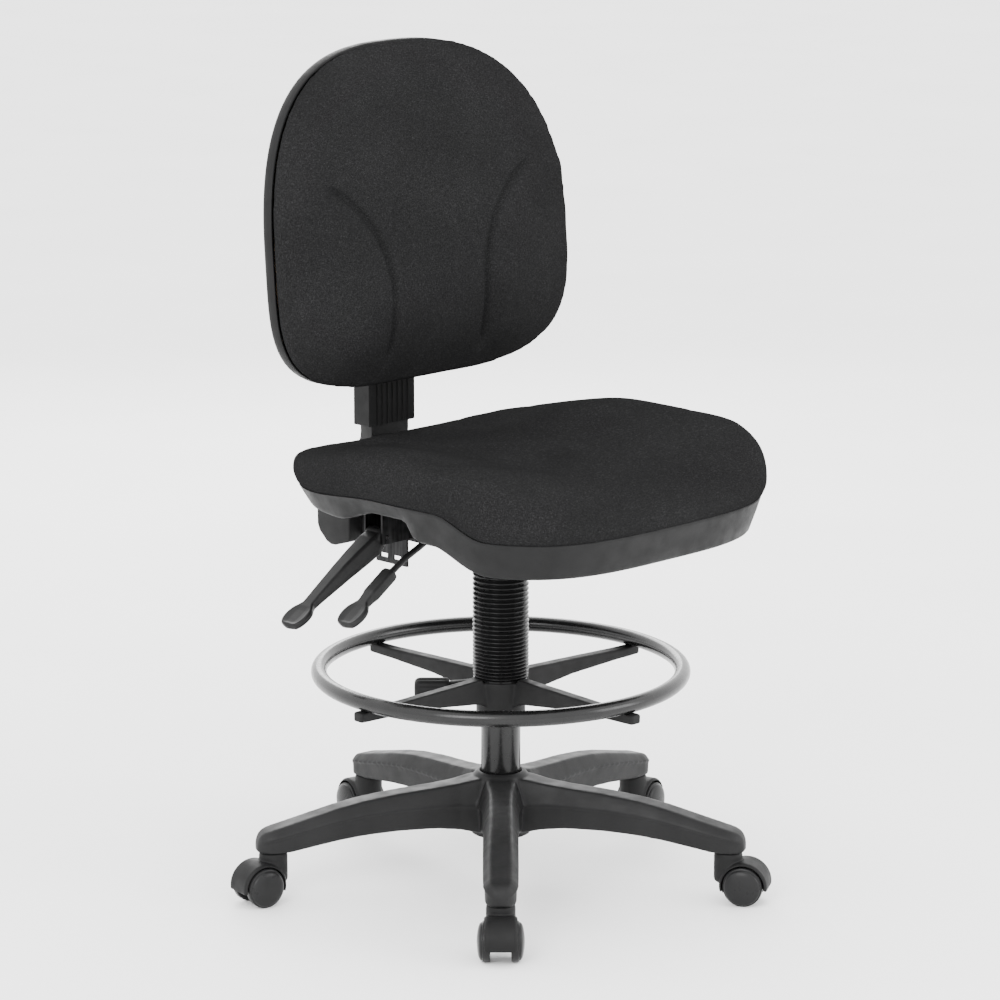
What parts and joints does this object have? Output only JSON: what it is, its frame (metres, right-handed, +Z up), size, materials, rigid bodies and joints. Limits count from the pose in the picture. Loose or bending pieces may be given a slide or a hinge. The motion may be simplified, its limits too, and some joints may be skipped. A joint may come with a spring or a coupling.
{
  "type": "drafting chair",
  "caption": "Armless drafting chair for a high desk: padded seat and back, height and angle levers, bellows over the gas lift, adjustable footring, star base on casters.",
  "frame": {"origin": "on the floor, under the middle of the chair's box", "axes": "+Z up, the chair faces -Y, the sitter's right hand is at -X"},
  "size_m": [0.6732, 0.6732, 1.0529],
  "materials": {
    "base_plastic": "fine-grained black nylon",
    "satin_plastic": "satin black moulded plastic",
    "wheel_plastic": "smooth black nylon",
    "black_steel": "glossy black powder coat",
    "zinc_steel": "zinc-plated",
    "spring_steel": "oiled spring wire",
    "bellows_plastic": "glossy black polyethylene",
    "plywood": "bare moulded plywood",
    "fabric": "black woven polyester"
  },
  "bodies": {
    "base": {"base_star": "base_plastic", "lift_outer_tube": "black_steel", "dust_bellows": "bellows_plastic"},
    "caster_1": {"caster_stem_1": "zinc_steel", "caster_hood_1": "satin_plastic", "caster_axle_1": "zinc_steel"},
    "wheel_left_1": {"caster_wheel_left_1": "wheel_plastic"},
    "wheel_right_1": {"caster_wheel_right_1": "wheel_plastic"},
    "caster_2": {"caster_stem_2": "zinc_steel", "caster_hood_2": "satin_plastic", "caster_axle_2": "zinc_steel"},
    "wheel_left_2": {"caster_wheel_left_2": "wheel_plastic"},
    "wheel_right_2": {"caster_wheel_right_2": "wheel_plastic"},
    "caster_3": {"caster_stem_3": "zinc_steel", "caster_hood_3": "satin_plastic", "caster_axle_3": "zinc_steel"},
    "wheel_left_3": {"caster_wheel_left_3": "wheel_plastic"},
    "wheel_right_3": {"caster_wheel_right_3": "wheel_plastic"},
    "caster_4": {"caster_stem_4": "zinc_steel", "caster_hood_4": "satin_plastic", "caster_axle_4": "zinc_steel"},
    "wheel_left_4": {"caster_wheel_left_4": "wheel_plastic"},
    "wheel_right_4": {"caster_wheel_right_4": "wheel_plastic"},
    "caster_5": {"caster_stem_5": "zinc_steel", "caster_hood_5": "satin_plastic", "caster_axle_5": "zinc_steel"},
    "wheel_left_5": {"caster_wheel_left_5": "wheel_plastic"},
    "wheel_right_5": {"caster_wheel_right_5": "wheel_plastic"},
    "footring": {"footring_hub": "satin_plastic", "footring_ring": "black_steel", "footring_screw_1": "zinc_steel", "footring_screw_2": "zinc_steel", "footring_screw_3": "zinc_steel", "footring_screw_4": "zinc_steel"},
    "footring_knob": {"footring_knob": "satin_plastic"},
    "lift": {"lift_piston": "zinc_steel"},
    "lift_button": {"lift_button": "zinc_steel"},
    "seat_frame": {"mechanism_housing": "black_steel", "mechanism_top_plate": "black_steel", "clamp_bracket": "zinc_steel", "recline_pivot_pin": "zinc_steel", "recline_spring": "spring_steel", "seat_board": "plywood", "seat_shell": "satin_plastic", "seat_cushion": "fabric", "seat_bolt_1": "zinc_steel", "seat_bolt_2": "zinc_steel", "seat_bolt_3": "zinc_steel", "seat_bolt_4": "zinc_steel"},
    "height_lever": {"height_lever_rod": "zinc_steel", "height_lever_grip": "satin_plastic"},
    "angle_lever": {"angle_lever": "satin_plastic"},
    "back_support": {"back_bar": "black_steel", "back_bar_cover": "satin_plastic"},
    "back": {"back_sleeve": "satin_plastic", "back_board": "plywood", "back_shell": "satin_plastic", "back_cushion": "fabric", "back_bolt_left": "zinc_steel", "back_bolt_right": "zinc_steel"}
  },
  "joints": [
    {"name": "caster_swivel_1", "type": "hinge", "parent": "base", "child": "caster_1", "pos_m": [-0.22616, -0.22605, 0.06], "axis": [0, 0, 1], "continuous": true},
    {"name": "wheel_roll_left_1", "type": "hinge", "parent": "caster_1", "child": "wheel_left_1", "pos_m": [-0.24172, -0.2416, 0.025], "axis": [0.7071, -0.7071, 0], "continuous": true},
    {"name": "wheel_roll_right_1", "type": "hinge", "parent": "caster_1", "child": "wheel_right_1", "pos_m": [-0.24172, -0.2416, 0.025], "axis": [0.7071, -0.7071, 0], "continuous": true},
    {"name": "caster_swivel_2", "type": "hinge", "parent": "base", "child": "caster_2", "pos_m": [0.121, -0.28103, 0.06], "axis": [0, 0, 1], "continuous": true},
    {"name": "wheel_roll_left_2", "type": "hinge", "parent": "caster_2", "child": "wheel_left_2", "pos_m": [0.13234, -0.29989, 0.025], "axis": [0.8572, 0.515, 0], "continuous": true},
    {"name": "wheel_roll_right_2", "type": "hinge", "parent": "caster_2", "child": "wheel_right_2", "pos_m": [0.13234, -0.29989, 0.025], "axis": [0.8572, 0.515, 0], "continuous": true},
    {"name": "caster_swivel_3", "type": "hinge", "parent": "base", "child": "caster_3", "pos_m": [0.28058, 0.03215, 0.06], "axis": [0, 0, 1], "continuous": true},
    {"name": "wheel_roll_left_3", "type": "hinge", "parent": "caster_3", "child": "wheel_left_3", "pos_m": [0.30183, 0.03784, 0.025], "axis": [-0.2588, 0.9659, 0], "continuous": true},
    {"name": "wheel_roll_right_3", "type": "hinge", "parent": "caster_3", "child": "wheel_right_3", "pos_m": [0.30183, 0.03784, 0.025], "axis": [-0.2588, 0.9659, 0], "continuous": true},
    {"name": "caster_swivel_4", "type": "hinge", "parent": "base", "child": "caster_4", "pos_m": [0.03204, 0.2807, 0.06], "axis": [0, 0, 1], "continuous": true},
    {"name": "wheel_roll_left_4", "type": "hinge", "parent": "caster_4", "child": "wheel_left_4", "pos_m": [0.03736, 0.30204, 0.025], "axis": [-0.9703, 0.2419, 0], "continuous": true},
    {"name": "wheel_roll_right_4", "type": "hinge", "parent": "caster_4", "child": "wheel_right_4", "pos_m": [0.03736, 0.30204, 0.025], "axis": [-0.9703, 0.2419, 0], "continuous": true},
    {"name": "caster_swivel_5", "type": "hinge", "parent": "base", "child": "caster_5", "pos_m": [-0.28115, 0.12112, 0.06], "axis": [0, 0, 1], "continuous": true},
    {"name": "wheel_roll_left_5", "type": "hinge", "parent": "caster_5", "child": "wheel_left_5", "pos_m": [-0.30275, 0.12532, 0.025], "axis": [-0.1908, -0.9816, 0], "continuous": true},
    {"name": "wheel_roll_right_5", "type": "hinge", "parent": "caster_5", "child": "wheel_right_5", "pos_m": [-0.30275, 0.12532, 0.025], "axis": [-0.1908, -0.9816, 0], "continuous": true},
    {"name": "footring_slide", "type": "slide", "parent": "base", "child": "footring", "axis": [0, 0, 1], "range_m": [-0.065, 0]},
    {"name": "footring_knob_turn", "type": "hinge", "parent": "footring", "child": "footring_knob", "pos_m": [-0.06141, 0.03205, 0.249], "axis": [-0.7071, 0.7071, 0], "range_deg": [0, 720]},
    {"name": "seat_lift", "type": "slide", "parent": "base", "child": "lift", "axis": [0, 0, 1], "range_m": [0, 0.25], "deforming": ["dust_bellows"]},
    {"name": "lift_button_press", "type": "slide", "parent": "lift", "child": "lift_button", "axis": [0, 0, -1], "range_m": [0, 0.004]},
    {"name": "seat_swivel", "type": "hinge", "parent": "lift", "child": "seat_frame", "pos_m": [-0.01474, -0.01462, 0.45], "axis": [0, 0, 1], "continuous": true},
    {"name": "height_lever_pull", "type": "hinge", "parent": "seat_frame", "child": "height_lever", "pos_m": [-0.05474, -0.01462, 0.4723], "axis": [0, 1, 0], "range_deg": [0, 5], "stiffness_Nm_per_rad": 2, "springref_deg": -11.46},
    {"name": "angle_lever_pull", "type": "hinge", "parent": "seat_frame", "child": "angle_lever", "pos_m": [-0.12674, 0.09038, 0.45], "axis": [0, 1, 0], "range_deg": [0, 8], "stiffness_Nm_per_rad": 2, "springref_deg": -11.46},
    {"name": "back_recline", "type": "hinge", "parent": "seat_frame", "child": "back_support", "pos_m": [-0.01474, 0.12438, 0.438], "axis": [-1, 0, 0], "range_deg": [0, 15]},
    {"name": "back_height", "type": "slide", "parent": "back_support", "child": "back", "axis": [0, 0, 1], "range_m": [0, 0.06]}
  ],
  "couplings": [
    {"joint": "lift_button_press", "follows": "height_lever_pull", "m_per_rad": 0.045}
  ]
}
